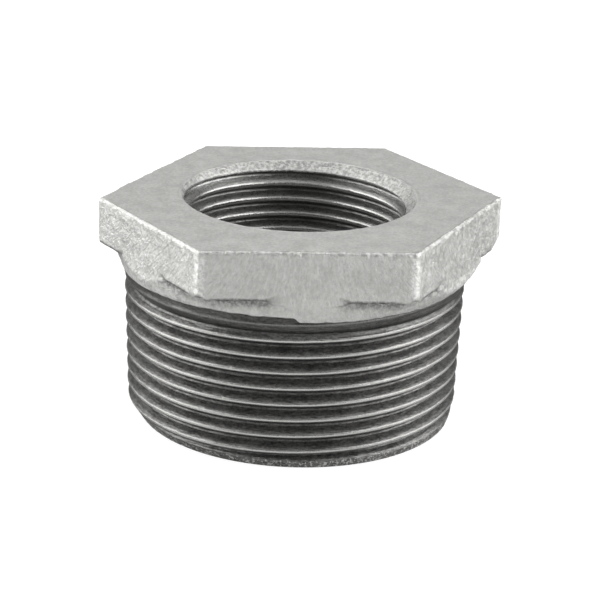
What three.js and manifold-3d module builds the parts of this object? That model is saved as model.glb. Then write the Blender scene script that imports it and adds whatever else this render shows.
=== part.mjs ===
// Hexagon reducing bush, R 1 1/2 outside by Rp 1 inside: one malleable-iron casting.
// Millimetres, +Z up. The origin is the centre of the threaded end face, the head is at the top,
// and two corners of the hexagon lie on the X axis, so two of its flats face +Y and -Y.
import * as THREE from "three";
import { mergeVertices } from "three/addons/utils/BufferGeometryUtils.js";
import Module from "manifold-3d";

// Overall sizes
const HEIGHT = 31.6;
const ACROSS_FLATS = 50;

// Hexagon head
const CORNERS = 6;
const CORNER_STEP = (2 * Math.PI) / CORNERS; // angle from one corner to the next
const HEAD_UNDERSIDE = 24.9;
const CORNER_ROUND = 0.8; // upright edges
const TOP_EDGE_ROUND = 0.5; // rim round the top face
const CHAMFER_START_RADIUS = 27.6; // the undersides of the corners slope up from here
const CHAMFER_ANGLE = THREE.MathUtils.degToRad(48);

// Round collar between the head and the outside thread
const COLLAR_TOP_RADIUS = 25.5;
const COLLAR_LIP_RADIUS = 24.4;
const COLLAR_LIP = 21.3;
const COLLAR_BOTTOM = 20.5;
const COLLAR_BOTTOM_RADIUS = 23;

// Pipe thread, 11 turns to the inch, right-hand, Whitworth form with flats in place of its rounds
const PITCH = 25.4 / 11;
const THREAD_DEPTH = 0.640327 * PITCH;
const CREST_WIDTH = PITCH / 6;

// Outside thread, tapered 1 in 16 on its diameter
const GAUGE_PLANE = 12.7; // height where the crests have their nominal radius
const OUTSIDE_CREST_RADIUS = 47.803 / 2;
const RADIUS_TAPER = 1 / 32;
const OUTSIDE_PHASE = 0.87; // height of a crest above the origin on the +X side
const END_CHAMFER_HEIGHT = 1.5;
const END_FACE_RADIUS = 22.3;

// Inside thread, parallel, open to the head's mouth
const INSIDE_ROOT_RADIUS = 33.249 / 2;
const INSIDE_PHASE = 0.69 + PITCH / 2; // height of a groove above the origin on the +X side
const INSIDE_THREAD_BOTTOM = 10;
const MOUTH_DEPTH = 1.6;
const MOUTH_BOTTOM_RADIUS = 16.5;
const MOUTH_RADIUS = 16.9;
const MOUTH_ROUND = 0.35;

// Plain cored waterway under the inside thread
const WATERWAY_RADIUS = 17.2;
const WATERWAY_SHOULDER = 9;
const WATERWAY_ROUND = 0.5;

// Facets round the axis, and on the small rounds of the head
const OUTSIDE_FACETS = 48;
const INSIDE_FACETS = 36;
const CORNER_FACETS = 3;
const TOP_EDGE_FACETS = 2;

const OVERRUN = 1; // how far a cutting shape passes the face it cuts
const MERGE_DISTANCE = 1e-4; // points closer than this are one point
const FULL_TURN = 2 * Math.PI;

const wasm = await Module();
wasm.setup();

// Turns a closed three.js geometry into a solid that can be joined and cut.
function solidOf(geometry) {
  const bare = geometry.clone();
  bare.deleteAttribute("normal");
  bare.deleteAttribute("uv");
  const merged = mergeVertices(bare, MERGE_DISTANCE);
  const corners = merged.index.array;
  const triangles = [];
  for (let i = 0; i < corners.length; i += 3) {
    const [a, b, c] = corners.slice(i, i + 3);
    // A lathe leaves flattened triangles at its poles.
    if (a !== b && b !== c && c !== a) triangles.push(a, b, c);
  }
  return new wasm.Manifold(
    new wasm.Mesh({
      numProp: 3,
      vertProperties: merged.attributes.position.array,
      triVerts: new Uint32Array(triangles),
    }),
  );
}

function geometryOf(solid) {
  const mesh = solid.getMesh();
  return new THREE.BufferGeometry()
    .setAttribute("position", new THREE.BufferAttribute(mesh.vertProperties, 3))
    .setIndex(new THREE.BufferAttribute(mesh.triVerts, 1));
}

// Solid of revolution about Z, from an outline of [radius, height] that climbs from axis to axis.
function revolved(outline, facets) {
  const points = outline.map(([radius, height]) => new THREE.Vector2(radius, height));
  return solidOf(new THREE.LatheGeometry(points, facets).rotateX(Math.PI / 2));
}

// Rod with a right-hand thread all along it. Each row of points follows the helix along one corner of
// the thread form, so after a full turn a row meets the row of the same corner one pitch higher.
function threadedRod({ crestRadiusAt, phase, bottom, top, facets }) {
  const form = [
    { rise: -CREST_WIDTH / 2, depth: 0 },
    { rise: CREST_WIDTH / 2, depth: 0 },
    { rise: (PITCH - CREST_WIDTH) / 2, depth: THREAD_DEPTH },
    { rise: (PITCH + CREST_WIDTH) / 2, depth: THREAD_DEPTH },
  ];
  const firstTurn = Math.floor((bottom - phase) / PITCH) - 1;
  const lastTurn = Math.ceil((top - phase) / PITCH) + 1;
  const rows = (lastTurn - firstTurn) * form.length;
  const positions = [];
  const triangles = [];
  const points = Array.from({ length: facets }, () => []);

  for (let column = 0; column < facets; column++) {
    const angle = (FULL_TURN * column) / facets;
    const extraRows = column === 0 ? form.length : 0;
    for (let row = 0; row <= rows + extraRows; row++) {
      const { rise, depth } = form[row % form.length];
      const turn = firstTurn + Math.floor(row / form.length) + column / facets;
      const z = phase + PITCH * turn + rise;
      const radius = crestRadiusAt(z) - depth;
      points[column].push(positions.length / 3);
      positions.push(radius * Math.cos(angle), radius * Math.sin(angle), z);
    }
  }
  const pointAt = (column, row) =>
    column < facets ? points[column][row] : points[0][row + form.length];

  for (let column = 0; column < facets; column++)
    for (let row = 0; row < rows; row++) {
      const a = pointAt(column, row);
      const b = pointAt(column + 1, row);
      const c = pointAt(column + 1, row + 1);
      const d = pointAt(column, row + 1);
      triangles.push(a, b, c, a, c, d);
    }

  // Each end is closed by a fan from the axis to its spiral edge.
  for (const [row, faceUp] of [[0, false], [rows, true]]) {
    const rim = [];
    for (let column = 0; column < facets; column++) rim.push(pointAt(column, row));
    for (let step = form.length; step > 0; step--) rim.push(points[0][row + step]);
    const centre = positions.length / 3;
    positions.push(0, 0, positions[3 * rim[0] + 2]);
    rim.forEach((from, i) => {
      const to = rim[(i + 1) % rim.length];
      triangles.push(centre, ...(faceUp ? [from, to] : [to, from]));
    });
  }
  return new wasm.Manifold(
    new wasm.Mesh({
      numProp: 3,
      vertProperties: new Float32Array(positions),
      triVerts: new Uint32Array(triangles),
    }),
  );
}

// Hexagon with rounded corners, extruded up to the top face with a rounded rim.
function hexagonPrism(bottom, top) {
  const outline = new THREE.Shape();
  const centreDistance = (ACROSS_FLATS / 2 - CORNER_ROUND) / Math.cos(CORNER_STEP / 2);
  for (let corner = 0; corner < CORNERS; corner++) {
    const direction = corner * CORNER_STEP;
    outline.absarc(
      centreDistance * Math.cos(direction),
      centreDistance * Math.sin(direction),
      CORNER_ROUND,
      direction - CORNER_STEP / 2,
      direction + CORNER_STEP / 2,
    );
  }
  const geometry = new THREE.ExtrudeGeometry(outline, {
    depth: top - bottom - 2 * TOP_EDGE_ROUND,
    curveSegments: CORNER_FACETS,
    bevelEnabled: true,
    bevelThickness: TOP_EDGE_ROUND,
    bevelSize: TOP_EDGE_ROUND,
    bevelOffset: -TOP_EDGE_ROUND,
    bevelSegments: TOP_EDGE_FACETS,
  });
  return solidOf(geometry.translate(0, 0, bottom + TOP_EDGE_ROUND));
}

// Head and collar: turned from below to this outline, then cut by the six flats.
function headAndCollar() {
  const outside = ACROSS_FLATS;
  const slopeTop = HEAD_UNDERSIDE + (outside - CHAMFER_START_RADIUS) * Math.tan(CHAMFER_ANGLE);
  const turned = revolved(
    [
      [0, COLLAR_BOTTOM],
      [COLLAR_BOTTOM_RADIUS, COLLAR_BOTTOM],
      [COLLAR_LIP_RADIUS, COLLAR_LIP],
      [COLLAR_TOP_RADIUS, HEAD_UNDERSIDE],
      [CHAMFER_START_RADIUS, HEAD_UNDERSIDE],
      [outside, slopeTop],
      [outside, HEIGHT + OVERRUN],
      [0, HEIGHT + OVERRUN],
    ],
    OUTSIDE_FACETS,
  );
  return turned.intersect(hexagonPrism(COLLAR_BOTTOM - 2 * OVERRUN, HEIGHT));
}

// Shank with the tapered outside thread and the chamfer at its end.
function threadedShank() {
  const crestRadiusAt = (z) => OUTSIDE_CREST_RADIUS + (z - GAUGE_PLANE) * RADIUS_TAPER;
  const top = COLLAR_LIP + OVERRUN;
  const rod = threadedRod({
    crestRadiusAt,
    phase: OUTSIDE_PHASE,
    bottom: 0,
    top,
    facets: OUTSIDE_FACETS,
  });
  const chamferTopRadius = crestRadiusAt(END_CHAMFER_HEIGHT);
  const envelope = revolved(
    [
      [0, 0],
      [END_FACE_RADIUS, 0],
      [chamferTopRadius, END_CHAMFER_HEIGHT],
      [COLLAR_TOP_RADIUS, END_CHAMFER_HEIGHT + OVERRUN],
      [COLLAR_TOP_RADIUS, top],
      [0, top],
    ],
    OUTSIDE_FACETS,
  );
  return rod.intersect(envelope);
}

// Everything that the waterway removes: the threaded part, its mouth, and the plain cored part.
function waterway() {
  const rod = threadedRod({
    crestRadiusAt: () => INSIDE_ROOT_RADIUS,
    phase: INSIDE_PHASE,
    bottom: INSIDE_THREAD_BOTTOM,
    top: HEIGHT,
    facets: INSIDE_FACETS,
  });
  const threadedLength = revolved(
    [
      [0, INSIDE_THREAD_BOTTOM],
      [MOUTH_RADIUS, INSIDE_THREAD_BOTTOM],
      [MOUTH_RADIUS, HEIGHT - MOUTH_DEPTH + MOUTH_ROUND],
      [0, HEIGHT - MOUTH_DEPTH + MOUTH_ROUND],
    ],
    INSIDE_FACETS,
  );
  const mouth = revolved(
    [
      [0, HEIGHT - MOUTH_DEPTH],
      [MOUTH_BOTTOM_RADIUS, HEIGHT - MOUTH_DEPTH],
      [MOUTH_RADIUS, HEIGHT - MOUTH_ROUND],
      [MOUTH_RADIUS + MOUTH_ROUND + OVERRUN, HEIGHT + OVERRUN],
      [0, HEIGHT + OVERRUN],
    ],
    INSIDE_FACETS,
  );
  const shoulderRise = WATERWAY_RADIUS - (INSIDE_ROOT_RADIUS - THREAD_DEPTH);
  const plain = revolved(
    [
      [0, -OVERRUN],
      [WATERWAY_RADIUS + WATERWAY_ROUND + OVERRUN, -OVERRUN],
      [WATERWAY_RADIUS, WATERWAY_ROUND],
      [WATERWAY_RADIUS, WATERWAY_SHOULDER],
      [WATERWAY_RADIUS - shoulderRise, WATERWAY_SHOULDER + shoulderRise],
      [0, WATERWAY_SHOULDER + shoulderRise],
    ],
    INSIDE_FACETS,
  );
  return rod.intersect(threadedLength).add(mouth).add(plain);
}

function reducingBush() {
  const solid = headAndCollar().add(threadedShank()).subtract(waterway());
  const zincedIron = new THREE.MeshStandardMaterial({
    color: 0xb4b4b0,
    roughness: 0.5,
    metalness: 0.9,
  });
  const mesh = new THREE.Mesh(geometryOf(solid), zincedIron);
  mesh.name = "reducing_bush";
  return mesh;
}

const bush = new THREE.Group();
bush.add(reducingBush());

export default bush;
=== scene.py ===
"""Looks of the hexagon reducing bush, R 1 1/2 x Rp 1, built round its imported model.

The bush is one galvanised casting, so it is one piece here: a single closed skin that runs down the
outside, in across the threaded end, up the waterway and out over the top face. Lengths are in
millimetres until the mesh is made.
"""

import itertools
import math

import bpy
import numpy as np
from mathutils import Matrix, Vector


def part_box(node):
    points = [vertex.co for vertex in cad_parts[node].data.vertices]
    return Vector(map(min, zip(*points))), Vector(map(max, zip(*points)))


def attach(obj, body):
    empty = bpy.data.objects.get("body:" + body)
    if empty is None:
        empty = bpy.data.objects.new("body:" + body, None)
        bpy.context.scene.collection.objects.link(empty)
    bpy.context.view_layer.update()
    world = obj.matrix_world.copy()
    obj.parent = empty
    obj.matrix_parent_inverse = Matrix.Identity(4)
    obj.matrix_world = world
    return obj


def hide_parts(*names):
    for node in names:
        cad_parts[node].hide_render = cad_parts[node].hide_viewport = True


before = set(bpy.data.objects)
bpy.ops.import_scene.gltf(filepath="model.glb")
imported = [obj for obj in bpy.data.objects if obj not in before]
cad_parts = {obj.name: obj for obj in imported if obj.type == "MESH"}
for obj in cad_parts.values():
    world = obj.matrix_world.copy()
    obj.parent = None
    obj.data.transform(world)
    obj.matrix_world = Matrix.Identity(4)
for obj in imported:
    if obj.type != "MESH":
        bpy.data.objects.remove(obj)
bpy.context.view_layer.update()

MM = 0.001
TURN = 2 * math.pi

# The head and the collar
_, top_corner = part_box("reducing_bush")
HEIGHT = top_corner[2] / MM
HALF_FLATS = top_corner[1] / MM
CORNERS = 6
FLAT_SHORTFALL = (-0.3, 0.3, 1.9, 0.0, 0.0, 0.0)  # anticlockwise from the flat at 30 degrees
CORNER_ROUND = (0.5, 0.7, 0.8, 0.7, 0.4, 0.8)  # anticlockwise from the corner on +X
CORNER_SHARPNESS = 129.3  # the power that rounds a corner by 1
RIM_ROUND = 0.5
RIM_STEPS = 5
LEFT_CORNER_WEAR = 0.3  # the rim is rounder at the corner on -X
LEFT_CORNER_SPREAD = 0.08
HEAD_UNDERSIDE = 24.5
UNDERSIDE_TILT = 0.35  # the underside is this much higher on the -X side
CHAMFER_START_RADIUS = 27.8  # under the corners on the X axis
CHAMFER_START_DRIFT = 0.7  # it starts further out under the other corners
CHAMFER_SLOPE = math.tan(math.radians(48))
COLLAR_TOP_RADIUS = 25.2
COLLAR_FLARE = (1.0, 0.3)  # its top is this much wider on the +X and the -X side
COLLAR_BULGE = 0.5  # and it is fuller under its top on the +X side
COLLAR_LIP_RADIUS = 24.42
COLLAR_LIP = 21.65
GROOVE_DEPTH = 0.28  # round the top of the collar, under the corners of the head
GROOVE_WIDTH = 0.75
LEDGE_FADE = 0.45  # a ledge narrower than this blends into the wall
LEDGE_TURN_IN = ((0.05, 0.35), (0.17, 0.15), (0.4, 0.03))  # in from the flat, up from its edge
LEDGE_SHARES = (0.3, 0.55, 0.8, 1.0)
LEDGE_ROW = 0.2  # spacing of the same rows where there is no ledge
PAINTED_SHADE_DROP = 0.3  # painted shade is full on the collar down to this far under the head, for each unit of ledge
# below that the painted shade fades out over this height
PAINTED_SHADE_FADE = 1.6
CORNER_RUBBED_RADIUS = 28.6
CORNER_RUBBED_FADE = 0.3
LIP_STEP_ANGLE = math.radians(266)  # where the end of the thread cut steps down
LIP_STEP = 0.6
LIP_STEP_WIDTH = 0.006  # as a share of a turn
LIP_CLIMB_START = 0.68
LIP_RAGGED = 0.09

# Both threads: Whitworth form, 11 turns to the inch, right-hand
PITCH = 25.4 / 11
THREAD_DEPTH = 0.640327 * PITCH
FORM_ROUND = 0.137329 * PITCH
FLANK_ANGLE = math.radians(27.5)
ARC_HALF = FORM_ROUND * math.cos(FLANK_ANGLE)
ARC_DEPTH = FORM_ROUND * (1 - math.sin(FLANK_ANGLE))

# The outside thread, tapered 1 in 16 on its diameter
GAUGE_PLANE = 12.7
OUTSIDE_CREST_RADIUS = 47.803 / 2
RADIUS_TAPER = 1 / 32
OUTSIDE_PHASE = 0.87
RUNOUT_BOTTOM = 18.6  # the grooves get shallower from here up to the lip
RUNOUT_TOP = 20.6
RUNOUT_DEPTH = (0.1, 0.05)  # what is left of the groove there, and how much that varies
END_CHAMFER_HEIGHT = 2.3
END_FACE_RADIUS = 22.3
END_UNEVEN = 0.7
END_UNEVEN_TURN = math.radians(50)
END_EDGE = 0.12
END_ZINC = 0.46  # patches of zinc are left beside the end face
THREAD_START = (0.7, 2.1)  # the grooves get deeper over this height
CREST_HALF_WIDTH = 0.3
CREST_WAVE = 0.018

# The bright line on the crests of both threads, and the painted shade in the roots of the inside thread
RUBBED_WIDTH = 0.15
ROOT_SHADE_WIDTH = 0.45

# The inside thread, parallel, and the plain waterway under it
INSIDE_CREST_RADIUS = 33.249 / 2 - THREAD_DEPTH
INSIDE_PHASE = 0.3
MOUTH_BOTTOM = 30.1
MOUTH_BOTTOM_RADIUS = 15.4
MOUTH_RADIUS = 16.6
MOUTH_OFFSET = (0.3, 0.65)  # the cast mouth is off the thread's axis
MOUTH_STRETCH = 0.4  # and longer along Y than along X
MOUTH_LEAD_IN = 0.5
THREADED_TOP = 31.45
WATERWAY_RADIUS = 17.2
SHOULDER = 9.0
WATERWAY_ROUND = 0.5

# The streaks in the zinc
LEAN = 1.0 / HALF_FLATS**2
STREAK_LENGTH = 3.5

# How finely the skin is drawn
HEAD_COLUMNS = 960  # the threads have half as many, and the bore a quarter
CORNER_CROWDING = 0.35
TOP_FACE_SHARES = (0.35, 0.65, 0.88, 1.0)
FLAT_ROWS = 26
COLLAR_ROWS = 16
WATERWAY_ROWS = 18
OUTSIDE_ROWS = (-0.281, -0.163, 0, 0.163, 0.281, 0.577, 0.873, 0.991, 1.1545, 1.318, 1.436, 1.732)
INSIDE_ROWS = (-0.281, -0.12, 0.12, 0.281, 0.577, 0.873, 1.1545, 1.436, 1.732)

# Each noise has a seed of its own
LIP_SEED = 11
RUNOUT_SEED = 21
TEAR_SEED = 22
CREST_SEED = 23
INSIDE_TEAR_SEED = 31
STREAK_SEED = 41
PEBBLE_SEED = 51
SWELL_SEED = 61
RIM_SEED = 71


# ---------------------------------------------------------------- noise

def lattice_value(cell, seed):
    """A fixed pseudo-random number from 0 to 1 for each whole-number cell."""
    key = (
        cell[..., 0] * 374761393
        + cell[..., 1] * 668265263
        + cell[..., 2] * 2147483647
        + seed * 1274126177
    ) & 0xFFFFFFFF
    key = ((key ^ (key >> 13)) * 1274126177) & 0xFFFFFFFF
    return ((key ^ (key >> 16)) & 0xFFFFFF) / 0xFFFFFF


def noise(points, seed):
    """Smooth value noise from -1 to 1 with features about one unit across."""
    cell = np.floor(points).astype(np.int64)
    part = points - cell
    ease = part * part * (3 - 2 * part)
    total = 0
    for corner in itertools.product((0, 1), repeat=3):
        weight = 1
        for axis in range(3):
            weight = weight * (ease[..., axis] if corner[axis] else 1 - ease[..., axis])
        total = total + weight * lattice_value(cell + np.array(corner), seed)
    return 2 * total - 1


def layered(points, size, octaves, seed):
    """Noise with features about size across, and finer ones on top of them."""
    total = 0
    for octave in range(octaves):
        total = total + noise(points / size * 2**octave + 31.7 * octave, seed + octave) / 2**octave
    return total


def smooth_step(value, start, end):
    t = np.clip((value - start) / (end - start), 0, 1)
    return t * t * (3 - 2 * t)


def smooth_min(a, b, width):
    t = np.clip(0.5 + 0.5 * (b - a) / width, 0, 1)
    return b + (a - b) * t - width * t * (1 - t)


# ---------------------------------------------------------------- the outlines

def hexagon_radius(theta, inset=0.0):
    """Radius of the hexagon's outline, with its corners rounded, drawn in by inset."""
    nearest = np.round(theta / (TURN / CORNERS)).astype(int) % CORNERS
    sharpness = CORNER_SHARPNESS / np.array(CORNER_ROUND)[nearest]
    reciprocal = 0
    for flat in range(CORNERS):
        normal = (flat + 0.5) * TURN / CORNERS
        toward = np.maximum(np.cos(theta - normal), 0.05)
        distance = (HALF_FLATS - FLAT_SHORTFALL[flat] - inset) / toward
        reciprocal = reciprocal + (HALF_FLATS / distance) ** sharpness
    return HALF_FLATS * reciprocal ** (-1 / sharpness)


def underside(theta):
    return HEAD_UNDERSIDE - UNDERSIDE_TILT * np.cos(theta)


def lip_height(theta):
    """Lower edge of the zinc, which climbs for most of a turn and then steps back down."""
    after_step = (theta - LIP_STEP_ANGLE) % TURN / TURN
    on_step = after_step <= LIP_STEP_WIDTH
    climb = LIP_STEP * smooth_step(after_step, LIP_CLIMB_START, 1.0)
    edge = LIP_STEP * (1 - smooth_step(after_step, 0, LIP_STEP_WIDTH))
    ring = np.stack([np.cos(theta), np.sin(theta), np.zeros_like(theta)], -1) * COLLAR_LIP_RADIUS
    ragged = LIP_RAGGED * layered(ring, 1.4, 3, LIP_SEED)
    return COLLAR_LIP - 0.1 + np.where(on_step, edge, climb) + ragged


def from_crest(rise):
    return np.abs((rise + PITCH / 2) % PITCH - PITCH / 2)


def crest_line(rise, half_width):
    """1 on the middle of a crest, and 0 well away from it."""
    return np.exp(-((rise / half_width) ** 2))


def thread_form(rise):
    """Depth under the crest at an axial distance from the middle of a crest."""
    away = from_crest(rise)
    from_root = PITCH / 2 - away
    crest = FORM_ROUND - np.sqrt(np.maximum(FORM_ROUND**2 - away**2, 0))
    root = THREAD_DEPTH - FORM_ROUND + np.sqrt(np.maximum(FORM_ROUND**2 - from_root**2, 0))
    flank = ARC_DEPTH + (away - ARC_HALF) / math.tan(FLANK_ANGLE)
    return np.where(away < ARC_HALF, crest, np.where(from_root < ARC_HALF, root, flank))


def end_radius(theta):
    """Where the chamfer meets the end face: the thread's axis is a little off the casting's."""
    return END_FACE_RADIUS + END_UNEVEN * np.cos(theta + END_UNEVEN_TURN)


def outside_surface(theta, z, rise, along):
    """Radius and marks of the outside thread. along is the distance travelled along the helix."""
    crest = OUTSIDE_CREST_RADIUS + (z - GAUGE_PLANE) * RADIUS_TAPER
    spot = np.stack([along, rise, np.zeros_like(z)], -1)
    runout = smooth_step(z, RUNOUT_BOTTOM, RUNOUT_TOP)
    start = smooth_step(z, *THREAD_START)
    left, varies = RUNOUT_DEPTH
    shallow = left + varies * noise(spot / 3, RUNOUT_SEED)
    deepest = THREAD_DEPTH * start * (1 - runout) + shallow * runout
    depth = smooth_min(thread_form(rise), deepest, 0.06)
    torn = np.maximum(noise(spot / [0.9, 0.5, 1], TEAR_SEED) - 0.55, 0) * 0.25
    on_crest = crest_line(rise, CREST_HALF_WIDTH)
    wave = CREST_WAVE * noise(spot / [2.5, 1, 1], CREST_SEED)
    radius = crest - depth - torn * on_crest + wave * on_crest
    crest_over_chamfer = OUTSIDE_CREST_RADIUS + (END_CHAMFER_HEIGHT - GAUGE_PLANE) * RADIUS_TAPER
    at_end = end_radius(theta)
    chamfer = at_end + (crest_over_chamfer - at_end) * z / END_CHAMFER_HEIGHT
    radius = smooth_min(radius, chamfer, 0.08)
    marks = {
        "zinc": END_ZINC * (1 - start),
        "cast": 0.06 + 0.4 * (1 - start),
        "rubbed": crest_line(rise, RUBBED_WIDTH) * start * (1 - 0.45 * runout),
        "stain": runout,
    }
    return radius, marks


def mouth_radius(theta, z):
    share = (z - MOUTH_BOTTOM) / (HEIGHT - MOUTH_BOTTOM)
    off_x, off_y = MOUTH_OFFSET
    edge = MOUTH_RADIUS + off_x * np.cos(theta) + off_y * np.sin(theta)
    edge = edge + MOUTH_STRETCH * np.sin(theta) ** 2
    return MOUTH_BOTTOM_RADIUS + (edge - MOUTH_BOTTOM_RADIUS) * share


def inside_surface(theta, z, rise, along):
    """Radius and marks of the inside thread, the mouth over it and the shoulder under it."""
    spot = np.stack([along, rise, np.zeros_like(z)], -1)
    torn = np.maximum(noise(spot / [1.2, 0.5, 1], INSIDE_TEAR_SEED) - 0.5, 0) * 0.2
    torn = torn * crest_line(rise, CREST_HALF_WIDTH)
    thread = INSIDE_CREST_RADIUS + thread_form(rise) + torn
    lead_in = mouth_radius(theta, HEIGHT) + (HEIGHT - z) * MOUTH_LEAD_IN
    thread = smooth_min(thread, lead_in, 0.1)
    mouth = mouth_radius(theta, z)
    shoulder = WATERWAY_RADIUS - (z - SHOULDER)
    radius = -smooth_min(-thread, -mouth, 0.05)
    radius = -smooth_min(-radius, -shoulder, 0.3)
    in_mouth = smooth_step(mouth - thread, -0.05, 0.1)
    out_of_mouth = 1 - in_mouth
    # Paler all over, with painted light on the ±X sides of the bore near the top of the thread, which face
    # the lamps
    paler_with_painted_side_light = 0.3 + 0.5 * smooth_step(z, MOUTH_BOTTOM - 1.3, MOUTH_BOTTOM + 0.1) * np.cos(theta) ** 2
    spilt_zinc = 0.45 * smooth_step(z, MOUTH_BOTTOM - 0.7, MOUTH_BOTTOM + 0.1)
    # Painted shade in the roots of the thread
    in_root = crest_line(PITCH / 2 - from_crest(rise), ROOT_SHADE_WIDTH)
    marks = {
        "zinc": np.maximum(in_mouth, spilt_zinc),
        "cast": 0.05 + 1.1 * in_mouth,
        "rubbed": np.maximum(crest_line(rise, RUBBED_WIDTH), paler_with_painted_side_light) * out_of_mouth + 0.7 * in_mouth,
        "stain": 0.6 * in_root * out_of_mouth + 0.7 * in_mouth,
    }
    return radius, marks


# ---------------------------------------------------------------- the skin

# Written on every point: zinc is left, as-cast relief, machined smooth, rubbed bright with painted light on
# the sides of the collar and the bore, and darker tone with painted shade under the head and in the inside
# thread's roots
MARKS = ("zinc", "cast", "machined", "rubbed", "stain")
FACED = {"zinc": 1, "machined": 1, "cast": 0.02}


class Skin:
    """Rings and helical rows of points, joined into one closed surface with its faces out."""

    def __init__(self):
        self.points = []
        self.faces = []
        self.marks = {name: [] for name in MARKS}
        self.count = 0

    def add(self, x, y, z, **marks):
        ids = np.arange(self.count, self.count + len(x))
        self.count += len(x)
        self.points.append(np.stack([x, y, z], -1))
        for name in MARKS:
            self.marks[name].append(np.broadcast_to(marks.get(name, 0.0), x.shape))
        return ids

    def ring(self, theta, radius, z, **marks):
        z = np.broadcast_to(z, theta.shape)
        return self.add(radius * np.cos(theta), radius * np.sin(theta), z, **marks)

    def bridge(self, first, second):
        self.faces += np.stack(
            [first, second, np.roll(second, -1), np.roll(first, -1)], -1
        ).tolist()

    def chain(self, rings):
        for first, second in zip(rings, rings[1:]):
            self.bridge(first, second)

    def widen(self, coarse, fine):
        """Joins a ring to one outside it that has twice as many points."""
        after, even, odd, last = np.roll(coarse, -1), fine[::2], fine[1::2], np.roll(fine[::2], -1)
        for a, b, c in ((coarse, even, odd), (coarse, odd, after), (after, odd, last)):
            self.faces += np.stack([a, b, c], -1).tolist()

    def narrow(self, fine, coarse):
        """Joins a ring to one inside it that has half as many points."""
        after, even, odd, last = np.roll(coarse, -1), fine[::2], fine[1::2], np.roll(fine[::2], -1)
        for a, b, c in ((even, coarse, odd), (coarse, after, odd), (after, last, odd)):
            self.faces += np.stack([a, b, c], -1).tolist()

    def helix(self, theta, phase, offsets, bottom, top, surface_at, going_up):
        """Rows that follow a thread between two rings, which it makes at heights bottom and top."""
        per_turn = len(offsets)
        offsets = np.array(offsets)
        mean_radius = OUTSIDE_CREST_RADIUS
        snap = 0.25 * PITCH / per_turn
        first_turn = math.floor((np.min(bottom) - phase) / PITCH) - 2
        turns = math.ceil((np.max(top) - phase) / PITCH) + 2 - first_turn
        rows = turns * per_turn
        row = np.arange(rows + per_turn)[None, :]
        turn = first_turn + row // per_turn + theta[:, None] / TURN
        rise = np.broadcast_to(offsets[row % per_turn], turn.shape)
        z = phase + PITCH * turn + rise
        along = TURN * turn * mean_radius
        bottom = np.broadcast_to(bottom, theta.shape)
        top = np.broadcast_to(top, theta.shape)
        grid = np.full(z.shape, -1)
        angle = np.broadcast_to(theta[:, None], z.shape)
        between = (z > bottom[:, None] + snap) & (z < top[:, None] - snap)
        around = angle[between]
        r, marks = surface_at(around, z[between], rise[between], along[between])
        grid[between] = self.add(r * np.cos(around), r * np.sin(around), z[between], **marks)
        ends = []
        below, above = z <= bottom[:, None] + snap, z >= top[:, None] - snap
        for height, outside in ((bottom, below), (top, above)):
            end_turn = (height - phase) / PITCH
            whole = np.floor(end_turn - theta / TURN + 0.5)
            end_rise = height - phase - PITCH * (whole + theta / TURN)
            r, marks = surface_at(theta, height, end_rise, TURN * (whole + theta / TURN) * mean_radius)
            ids = self.ring(theta, r, height, **marks)
            grid[outside] = np.broadcast_to(ids[:, None], z.shape)[outside]
            ends.append(ids)
        beyond = np.concatenate([grid[1:, :rows], grid[:1, per_turn:]])
        here = grid[:, :rows]
        a, b, c, d = here[:, :-1], here[:, 1:], beyond[:, 1:], beyond[:, :-1]
        if not going_up:
            a, b, c, d = b, a, d, c
        for quad in np.stack([a, b, c, d], -1).reshape(-1, 4).tolist():
            face = [v for i, v in enumerate(quad) if v != quad[i - 1]]
            if len(face) > 2 and len(set(face)) == len(face):
                self.faces.append(face)
        return ends


def columns(count):
    """Angles of the columns, closer together at the hexagon's corners."""
    even = TURN * np.arange(count) / count
    return even - CORNER_CROWDING * np.sin(CORNERS * even) / CORNERS


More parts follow.
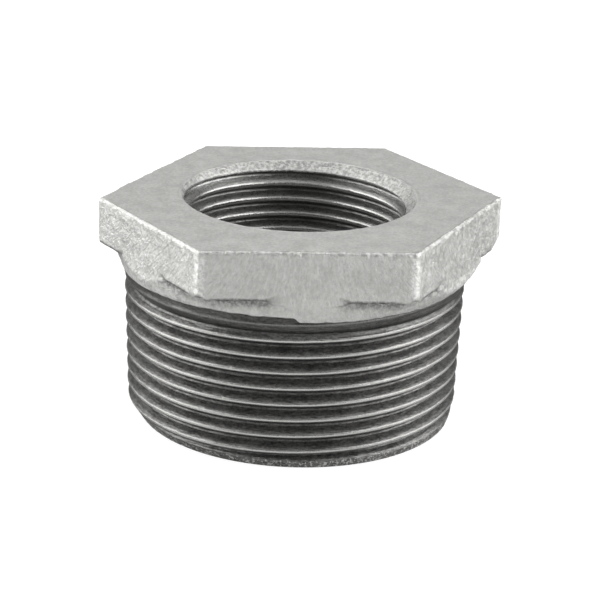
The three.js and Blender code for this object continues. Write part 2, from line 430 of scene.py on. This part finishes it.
def head_rings(skin, theta):
    """From the top face over the rim, down the flats, under the head and down the collar."""
    rings = []
    hexagon = hexagon_radius(theta)
    outline = np.stack([hexagon * np.cos(theta), hexagon * np.sin(theta), np.zeros_like(theta)], -1)
    ragged = layered(outline, 0.8, 3, RIM_SEED)
    worn = LEFT_CORNER_WEAR * np.exp(-(((theta - TURN / 2) / LEFT_CORNER_SPREAD) ** 2))
    rim_width = RIM_ROUND * (0.9 + 0.15 * ragged) + worn
    rim_drop = RIM_ROUND * (1.1 + 0.6 * ragged) + worn
    rim_start = hexagon_radius(theta, rim_width)
    mouth_edge = mouth_radius(theta, HEIGHT) + 1
    for share in TOP_FACE_SHARES:
        radius = mouth_edge + (rim_start - mouth_edge) * share
        rings.append(skin.ring(theta, radius, HEIGHT, **FACED))
    for step in range(1, RIM_STEPS + 1):
        swing = TURN / 4 * step / RIM_STEPS
        radius = hexagon_radius(theta, rim_width * (1 - math.sin(swing)))
        height = HEIGHT - rim_drop * (1 - math.cos(swing))
        cast = 0.3 + 1.1 * (step - 1) / (RIM_STEPS - 1)
        worn_edge = math.sin(2 * swing)
        rings.append(skin.ring(
            theta, radius, height, zinc=1, cast=cast, rubbed=0.2 * worn_edge, stain=0.4 * worn_edge
        ))

    under = underside(theta)
    chamfer_start = CHAMFER_START_RADIUS + CHAMFER_START_DRIFT * np.sin(theta) ** 2
    edge = under + np.maximum(hexagon - chamfer_start, 0) * CHAMFER_SLOPE
    ledge = smooth_step(hexagon - collar_top_radius(theta), 0, LEDGE_FADE)
    corner = smooth_step(hexagon, CORNER_RUBBED_RADIUS - CORNER_RUBBED_FADE, CORNER_RUBBED_RADIUS)
    flat_top = HEIGHT - rim_drop
    flat_bottom = edge + 0.6 + 0.6 * (1 - ledge)
    for row in range(1, FLAT_ROWS + 1):
        height = flat_top + (flat_bottom - flat_top) * row / FLAT_ROWS
        rings.append(skin.ring(theta, hexagon, height, zinc=1, cast=1, rubbed=1.4 * corner))

    # The ledge under the head. Between the corners there is none, and a flat runs down to the collar.
    inner = np.minimum(collar_top_radius(theta), hexagon)
    ledge_start = LEDGE_TURN_IN[-1][0]
    ledge_end = inner - 0.7 * GROOVE_DEPTH
    rows = [(hexagon - inward, edge + rise) for inward, rise in LEDGE_TURN_IN]
    for share in LEDGE_SHARES:
        radius = hexagon - ledge_start + (ledge_end - hexagon + ledge_start) * share
        rows.append((radius, under + np.maximum(radius - chamfer_start, 0) * CHAMFER_SLOPE))
    rows.append((inner - GROOVE_DEPTH, under - 0.12))
    for index, (radius, height) in enumerate(rows):
        along_wall = edge + 1.2 - LEDGE_ROW * (index + 1)
        height = along_wall + (height - along_wall) * ledge
        radius = hexagon + (radius - hexagon) * ledge
        # Painted shade on the underside of the ledge, darker further in
        stain = ledge * smooth_step(CHAMFER_START_RADIUS + 0.4 - radius, 0, 0.8)
        rings.append(skin.ring(theta, radius, height, zinc=1, cast=0.8, stain=stain))
    collar_top = height

    lip = lip_height(theta)
    # Painted shade on the top of the collar under the ledge, reaching further down where the ledge sticks
    # out further
    painted_shade_full_height = under - PAINTED_SHADE_DROP * (hexagon - inner)
    # Painted highlight: the collar is paler on its ±X sides, which face the lamps
    painted_side_light = 0.9 * np.cos(theta) ** 2
    for row in range(1, COLLAR_ROWS + 1):
        height = collar_top + (lip + 0.15 - collar_top) * row / COLLAR_ROWS
        dip = GROOVE_DEPTH * ledge * np.exp(-(((height - under) / GROOVE_WIDTH) ** 2))
        stain = ledge * smooth_step(height, painted_shade_full_height - PAINTED_SHADE_FADE, painted_shade_full_height)
        radius = collar_radius(theta, height, hexagon) - dip
        rings.append(skin.ring(
            theta, radius, height, zinc=1, cast=1.1, stain=stain, rubbed=painted_side_light
        ))
    rings.append(skin.ring(theta, COLLAR_LIP_RADIUS - 0.02, lip + 0.04, zinc=1, cast=0.4))
    rings.append(skin.ring(theta, COLLAR_LIP_RADIUS - 0.1, lip, zinc=0.8, cast=0.2))
    return rings


def collar_top_radius(theta):
    along_x = np.cos(theta)
    return COLLAR_TOP_RADIUS + np.where(along_x > 0, *COLLAR_FLARE) * along_x**2


def collar_radius(theta, height, hexagon):
    share = np.clip((height - COLLAR_LIP) / (HEAD_UNDERSIDE - COLLAR_LIP), 0, 1)
    round_wall = COLLAR_LIP_RADIUS + (collar_top_radius(theta) - COLLAR_LIP_RADIUS) * share
    bulge = COLLAR_BULGE * np.maximum(np.cos(theta), 0) ** 2 * 4 * share * (1 - share)
    return smooth_min(round_wall + bulge, hexagon, 0.12)


def build_skin():
    """The whole skin: mouth, top face, head, outside thread, end face, waterway, inside thread."""
    skin = Skin()
    head_theta = columns(HEAD_COLUMNS)
    theta = head_theta[::2]
    inner_theta = head_theta[::4]

    mouth = []
    for height, out, cast in ((HEIGHT - 0.06, 0.02, 0.6), (HEIGHT, 0.16, 0.2)):
        radius = mouth_radius(inner_theta, height) + out
        mouth.append(skin.ring(inner_theta, radius, height, zinc=1, cast=cast))
    top = skin.ring(theta, mouth_radius(theta, HEIGHT) + 0.5, HEIGHT, **FACED)
    head = [skin.ring(head_theta, mouth_radius(head_theta, HEIGHT) + 0.9, HEIGHT, **FACED)]
    head += head_rings(skin, head_theta)

    under_lip = lip_height(theta) - 0.06
    thread_bottom, thread_top = skin.helix(
        theta, OUTSIDE_PHASE, OUTSIDE_ROWS, END_EDGE, under_lip, outside_surface, False
    )

    end = [
        skin.ring(theta, end_radius(theta) - inset, 0, zinc=0.4, cast=cast)
        for inset, cast in ((END_EDGE, 0.1), (END_EDGE + 1, 0.15))
    ]
    core = [
        skin.ring(inner_theta, radius, height, zinc=0.8, cast=cast)
        for radius, height, cast in (
            (end_radius(inner_theta) - END_EDGE - 2.2, 0, 0.15),
            (WATERWAY_RADIUS + 1.5, 0, 0.15),
            (WATERWAY_RADIUS + WATERWAY_ROUND, 0, 0.15),
            (WATERWAY_RADIUS + 0.15, 0.15, 0.4),
            (WATERWAY_RADIUS, WATERWAY_ROUND, 1),
        )
    ]
    for step in range(1, WATERWAY_ROWS + 1):
        height = WATERWAY_ROUND + (SHOULDER - WATERWAY_ROUND) * step / WATERWAY_ROWS
        core.append(skin.ring(inner_theta, WATERWAY_RADIUS, height, zinc=0.8, cast=1.2))

    inside_bottom, inside_top = skin.helix(
        inner_theta, INSIDE_PHASE, INSIDE_ROWS, SHOULDER + 0.3, THREADED_TOP, inside_surface, True
    )

    skin.chain(mouth)
    skin.widen(mouth[-1], top)
    skin.widen(top, head[0])
    skin.chain(head)
    skin.narrow(head[-1], thread_top)
    skin.bridge(thread_bottom, end[0])
    skin.chain(end)
    skin.narrow(end[-1], core[0])
    skin.chain(core + [inside_bottom])
    skin.bridge(inside_top, mouth[0])
    return skin


def outward(points, faces):
    """Area-weighted normals of the points."""
    triangles = np.array(
        [(f[0], f[i], f[i + 1]) for f in faces for i in range(1, len(f) - 1)]
    )
    a, b, c = (points[triangles[:, i]] for i in range(3))
    cross = np.cross(b - a, c - a)
    normals = np.zeros_like(points)
    for i in range(3):
        np.add.at(normals, triangles[:, i], cross)
    return normals / np.maximum(np.linalg.norm(normals, axis=1, keepdims=True), 1e-12)


def cast_relief(points):
    """The pebbled zinc skin: lumps, and streaks that lean away from the front of the casting."""
    x, y, z = points.T
    turn = LEAN * x * (z - HEIGHT)
    leaning = np.stack([x - y * turn, y + x * turn, z / STREAK_LENGTH], -1)
    streaks = layered(leaning, 0.5, 2, STREAK_SEED)
    pebbles = layered(points, 0.8, 3, PEBBLE_SEED)
    swell = layered(points, 6.0, 2, SWELL_SEED)
    return 0.034 * pebbles + 0.042 * streaks + 0.02 * swell


def make_bush():
    skin = build_skin()
    points = np.concatenate(skin.points)
    marks = {name: np.concatenate(values) for name, values in skin.marks.items()}
    normals = outward(points, skin.faces)
    points = points + normals * (marks["cast"] * cast_relief(points))[:, None]
    points[:, 2] = np.clip(points[:, 2], 0, HEIGHT)

    mesh = bpy.data.meshes.new("galvanised_bush")
    mesh.from_pydata((points * MM).tolist(), [], skin.faces)
    for name, values in marks.items():
        layer = mesh.attributes.new(name, "FLOAT", "POINT")
        layer.data.foreach_set("value", values.astype(np.float32))
    mesh.shade_smooth()
    mesh.update()
    bush = bpy.data.objects.new("galvanised_bush", mesh)
    bpy.context.collection.objects.link(bush)
    return bush


# ---------------------------------------------------------------- the materials

ZINC_DARK = (0.49, 0.49, 0.475, 1)
ZINC_PALE = (0.68, 0.68, 0.66, 1)
ZINC_RUBBED_AND_LIT = (0.8, 0.8, 0.78, 1)
ZINC_SHADE_AND_DARK = (0.12, 0.12, 0.115, 1)
IRON_DARK = (0.07, 0.0695, 0.067, 1)
IRON_PALE = (0.23, 0.228, 0.221, 1)
IRON_RUBBED_AND_LIT = (0.76, 0.76, 0.74, 1)
IRON_SHADE_AND_DARK = (0.03, 0.03, 0.028, 1)
EDGE_TINT = (0.5, 0.5, 0.5, 1)
BUMP_HEIGHT = 0.2 * MM


class Nodes:
    """Short calls for building a node tree."""

    def __init__(self, material):
        material.use_nodes = True
        self.tree = material.node_tree
        self.tree.nodes.clear()

    def new(self, kind, **settings):
        node = self.tree.nodes.new(kind)
        for name, value in settings.items():
            setattr(node, name, value)
        return node

    def put(self, socket, value):
        if isinstance(value, bpy.types.NodeSocket):
            self.tree.links.new(value, socket)
        else:
            socket.default_value = value

    def attribute(self, name):
        return self.new("ShaderNodeAttribute", attribute_name=name).outputs["Fac"]

    def math(self, operation, *values):
        node = self.new("ShaderNodeMath", operation=operation)
        for socket, value in zip(node.inputs, values):
            self.put(socket, value)
        return node.outputs[0]

    def noise(self, vector, scale, detail=2.0, roughness=0.5, distortion=0.0):
        node = self.new("ShaderNodeTexNoise")
        for name, value in (
            ("Vector", vector), ("Scale", scale), ("Detail", detail),
            ("Roughness", roughness), ("Distortion", distortion),
        ):
            self.put(node.inputs[name], value)
        return node.outputs["Fac"]

    def stretch(self, vector, scale):
        node = self.new("ShaderNodeMapping")
        self.put(node.inputs["Vector"], vector)
        node.inputs["Scale"].default_value = scale
        return node.outputs["Vector"]

    def lean(self, place):
        """Place, drawn out downwards along lines that lean away from the front of the casting."""
        split = self.new("ShaderNodeSeparateXYZ")
        self.put(split.inputs[0], place)
        x, y, z = split.outputs
        below_top = self.math("SUBTRACT", z, HEIGHT)
        turn = self.math("MULTIPLY", self.math("MULTIPLY", x, below_top), LEAN)
        join = self.new("ShaderNodeCombineXYZ")
        self.put(join.inputs[0], self.math("SUBTRACT", x, self.math("MULTIPLY", y, turn)))
        self.put(join.inputs[1], self.math("ADD", y, self.math("MULTIPLY", x, turn)))
        self.put(join.inputs[2], self.math("DIVIDE", z, STREAK_LENGTH))
        return join.outputs[0]

    def range(self, value, low, high, to_low=0.0, to_high=1.0):
        node = self.new("ShaderNodeMapRange", interpolation_type="SMOOTHSTEP")
        for socket, given in zip(node.inputs, (value, low, high, to_low, to_high)):
            self.put(socket, given)
        return node.outputs["Result"]

    def mix(self, share, first, second):
        node = self.new("ShaderNodeMix", data_type="FLOAT")
        for socket, value in zip(node.inputs[:1] + node.inputs[2:4], (share, first, second)):
            self.put(socket, value)
        return node.outputs[0]

    def blend(self, share, first, second):
        node = self.new("ShaderNodeMix", data_type="RGBA")
        sockets = (node.inputs[0], node.inputs[6], node.inputs[7])
        for socket, value in zip(sockets, (share, first, second)):
            self.put(socket, value)
        return node.outputs[2]


def galvanised_iron():
    """Zinc skin, smooth where the casting was faced, and bare dark iron where it was threaded."""
    material = bpy.data.materials.new("galvanised_iron")
    n = Nodes(material)
    place = n.stretch(n.new("ShaderNodeTexCoord").outputs["Object"], (1000, 1000, 1000))

    speckle = n.noise(place, 2.6, 3.0, 0.6)
    patches = n.math("MULTIPLY", n.math("SUBTRACT", speckle, 0.5), 1.2)
    cover = n.math("ADD", n.attribute("zinc"), patches)
    zinc = n.range(cover, 0.45, 0.6)
    machined = n.attribute("machined")
    rubbed = n.attribute("rubbed")
    stain = n.attribute("stain")

    # Zinc: fine pale spots and darker pits, in streaks that lean away from the front
    spots = n.noise(place, 2.0, 5.0, 0.7)
    clouds = n.noise(place, 0.35, 3.0, 0.6)
    leaning = n.lean(place)
    runs = n.noise(leaning, 3.4, 3.0, 0.6)
    shade = n.mix(0.3, n.mix(0.4, spots, runs), clouds)
    zinc_colour = n.blend(n.range(shade, 0.36, 0.64), ZINC_DARK, ZINC_PALE)
    # Paler where rubbed bright, with a painted highlight on the collar's ±X sides, which face the lamps
    bright = n.math("MULTIPLY", rubbed, n.range(spots, 0.42, 0.58, 0.1, 0.8))
    zinc_colour = n.blend(bright, zinc_colour, ZINC_RUBBED_AND_LIT)
    # Darker on the rim's edge and in the mouth, and painted shade under the head: on the ledge and down the
    # top of the collar
    shade_and_dark = n.math("MULTIPLY", stain, n.range(spots, 0.38, 0.62, 0.88, 0.42))
    zinc_colour = n.blend(shade_and_dark, zinc_colour, ZINC_SHADE_AND_DARK)
    cast_rough = n.range(spots, 0.35, 0.65, 0.34, 0.55)
    machined_rough = n.range(spots, 0.3, 0.7, 0.4, 0.48)
    zinc_rough = n.mix(rubbed, n.mix(machined, cast_rough, machined_rough), 0.5)

    # Cut iron: streaks along the thread, paler where the crests are rubbed bright, with painted light on the
    # sides of the bore near its top, and darker in the run-out and with painted shade in the roots of the
    # inside thread
    streaks = n.noise(n.stretch(place, (0.9, 0.9, 6.0)), 1.0, 3.0, 0.6)
    specks = n.noise(n.stretch(place, (3.0, 3.0, 4.5)), 1.0, 3.0, 0.7)
    smudges = n.noise(n.stretch(place, (0.3, 0.3, 0.6)), 1.0, 3.0, 0.6)
    iron_shade = n.mix(0.2, n.mix(0.5, streaks, specks), smudges)
    iron_colour = n.blend(n.range(iron_shade, 0.38, 0.64), IRON_DARK, IRON_PALE)
    iron_colour = n.blend(n.math("MULTIPLY", rubbed, 0.8), iron_colour, IRON_RUBBED_AND_LIT)
    iron_colour = n.blend(n.math("MULTIPLY", stain, 0.5), iron_colour, IRON_SHADE_AND_DARK)
    iron_rough = n.mix(rubbed, n.range(specks, 0.3, 0.7, 0.28, 0.44), 0.22)

    shader = n.new("ShaderNodeBsdfPrincipled")
    n.put(shader.inputs["Base Color"], n.blend(zinc, iron_colour, zinc_colour))
    n.put(shader.inputs["Roughness"], n.mix(zinc, iron_rough, zinc_rough))
    n.put(shader.inputs["Metallic"], n.mix(n.math("MAXIMUM", zinc, rubbed), 0.8, 1.0))
    shader.inputs["Specular Tint"].default_value = EDGE_TINT

    # Fine grain under what the mesh holds
    pebble = n.mix(0.45, n.noise(place, 3.2, 4.0, 0.65), runs)
    grain = n.math("MULTIPLY", pebble, n.mix(machined, 1.0, 0.05))
    scratch = n.math("MULTIPLY", n.mix(0.5, streaks, specks), n.mix(rubbed, 0.5, 0.15))
    height = n.mix(zinc, scratch, grain)
    bump = n.new("ShaderNodeBump")
    bump.inputs["Strength"].default_value = 1.0
    bump.inputs["Distance"].default_value = BUMP_HEIGHT
    n.put(bump.inputs["Height"], height)
    n.put(shader.inputs["Normal"], bump.outputs["Normal"])

    output = n.new("ShaderNodeOutputMaterial")
    n.put(output.inputs["Surface"], shader.outputs[0])
    return material


def floor_white():
    """Seen directly, it is nearly white. In the bush's reflections it is dimmer, most so behind it."""
    material = bpy.data.materials.new("floor_white")
    n = Nodes(material)
    place = n.new("ShaderNodeSeparateXYZ")
    n.put(place.inputs[0], n.new("ShaderNodeTexCoord").outputs["Object"])
    seen = n.new("ShaderNodeLightPath").outputs["Is Camera Ray"]
    reflected = n.range(place.outputs["Y"], *FLOOR_DIMS_OVER, 1.0, FLOOR_BEHIND)
    reflected_colour = n.blend(reflected, BLACK, FLOOR_REFLECTED)
    reflected_glow = n.math("MULTIPLY", reflected, FLOOR_REFLECTED_GLOW)

    shader = n.new("ShaderNodeBsdfPrincipled")
    shader.inputs["Roughness"].default_value = 0.9
    shader.inputs["Emission Color"].default_value = (1, 1, 1, 1)
    n.put(shader.inputs["Base Color"], n.blend(seen, reflected_colour, FLOOR_SEEN))
    n.put(shader.inputs["Emission Strength"], n.mix(seen, reflected_glow, FLOOR_SEEN_GLOW))
    output = n.new("ShaderNodeOutputMaterial")
    n.put(output.inputs["Surface"], shader.outputs[0])
    return material


# ---------------------------------------------------------------- studio

FLOOR_HEIGHT = -0.02 * MM  # a hair under the end face
FLOOR_HALF_SIZE = 3.0
FLOOR_SEEN = (0.2, 0.2, 0.2, 1)
FLOOR_SEEN_GLOW = 0.85
FLOOR_REFLECTED = (0.45, 0.45, 0.45, 1)
FLOOR_REFLECTED_GLOW = 0.15
FLOOR_DIMS_OVER = (0.01, 0.06)
FLOOR_BEHIND = 0.2
BLACK = (0, 0, 0, 1)

# Azimuth from the camera and elevation in degrees, distance, size, power
LAMPS = {
    "left_lamp": (-95, 22, 0.6, (0.85, 0.85), 6.3),
    "right_lamp": (87, 22, 0.6, (0.85, 0.85), 6.4),
    "top_lamp": (0, 72, 0.7, (0.6, 0.4), 0.3),
}

TENT_FRONT = 0.23
TENT_BACK = 1.2
TENT_SIDES = 0.4
FLAG_SHADE = 0.05

CAMERA_DISTANCE = 0.31653
CAMERA_ELEVATION = math.radians(20.083)
CAMERA_AZIMUTH = math.radians(-94.026)
CAMERA_TARGET = Vector((0, 0, 0.015))
CAMERA_ROLL = math.radians(1.883)
CAMERA_LENS = 132.82
CAMERA_SHIFT = (0.01057, 0.010)


def aim(item, place, target):
    item.location = place
    item.rotation_euler = (Vector(target) - Vector(place)).to_track_quat("-Z", "Y").to_euler()


def camera():
    data = bpy.data.cameras.new("camera")
    data.lens = CAMERA_LENS
    data.sensor_width = 36
    data.shift_x, data.shift_y = CAMERA_SHIFT
    data.clip_start = 0.01
    item = bpy.data.objects.new("camera", data)
    bpy.context.collection.objects.link(item)
    level = math.cos(CAMERA_ELEVATION)
    away = Vector((
        level * math.cos(CAMERA_AZIMUTH), level * math.sin(CAMERA_AZIMUTH), math.sin(CAMERA_ELEVATION)
    ))
    aim(item, CAMERA_TARGET + CAMERA_DISTANCE * away, CAMERA_TARGET)
    item.rotation_euler.rotate_axis("Z", CAMERA_ROLL)
    bpy.context.scene.camera = item


def lamp(name, azimuth, elevation, distance, size, power):
    """A soft lamp that looks at the bush. Azimuth is positive to the camera's right."""
    data = bpy.data.lights.new(name, "AREA")
    data.shape = "RECTANGLE"
    data.size, data.size_y = size
    data.energy = power
    item = bpy.data.objects.new(name, data)
    bpy.context.collection.objects.link(item)
    turn = CAMERA_AZIMUTH + math.radians(azimuth)
    rise = math.radians(elevation)
    level = math.cos(rise)
    place = distance * Vector((level * math.cos(turn), level * math.sin(turn), math.sin(rise)))
    aim(item, CAMERA_TARGET + place, CAMERA_TARGET)


def surroundings():
    """A white tent, dimmer in front and with a dark flag at each side behind the bush.

    Seen directly, it is plain white.
    """
    world = bpy.data.worlds.new("world")
    bpy.context.scene.world = world
    n = Nodes(world)
    direction = n.new("ShaderNodeTexCoord").outputs["Generated"]

    def along(axis):
        dot = n.new("ShaderNodeVectorMath", operation="DOT_PRODUCT")
        n.put(dot.inputs[0], direction)
        dot.inputs[1].default_value = axis
        return dot.outputs["Value"]

    front = along((math.cos(CAMERA_AZIMUTH), math.sin(CAMERA_AZIMUTH), 0))
    side = along((-math.sin(CAMERA_AZIMUTH), math.cos(CAMERA_AZIMUTH), 0))
    sideways = n.math("MULTIPLY", side, side)
    from_sides = n.math("MULTIPLY", sideways, TENT_SIDES)
    glow = n.math("ADD", n.range(front, 0.9, -0.4, TENT_FRONT, TENT_BACK), from_sides)
    flag = n.math("MULTIPLY", n.range(sideways, 0.03, 0.2), n.range(sideways, 0.8, 0.55))
    flag = n.math("MULTIPLY", flag, n.range(front, -0.2, -0.5))
    glow = n.math("MULTIPLY", glow, n.mix(flag, 1.0, FLAG_SHADE))
    seen = n.new("ShaderNodeLightPath").outputs["Is Camera Ray"]
    background = n.new("ShaderNodeBackground")
    n.put(background.inputs["Strength"], n.mix(seen, glow, 1.0))
    output = n.new("ShaderNodeOutputWorld")
    n.put(output.inputs["Surface"], background.outputs[0])


def studio():
    size = FLOOR_HALF_SIZE
    corners = [(x, y, FLOOR_HEIGHT) for x, y in ((-size, -size), (size, -size), (size, size), (-size, size))]
    mesh = bpy.data.meshes.new("floor")
    mesh.from_pydata(corners, [], [(0, 1, 2, 3)])
    floor = bpy.data.objects.new("floor", mesh)
    bpy.context.collection.objects.link(floor)
    floor.data.materials.append(floor_white())

    surroundings()
    for name, settings in LAMPS.items():
        lamp(name, *settings)
    bpy.context.scene.view_settings.view_transform = "Standard"


camera()
studio()
bush = make_bush()
bush.data.materials.append(galvanised_iron())
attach(bush, "root")
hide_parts("reducing_bush")
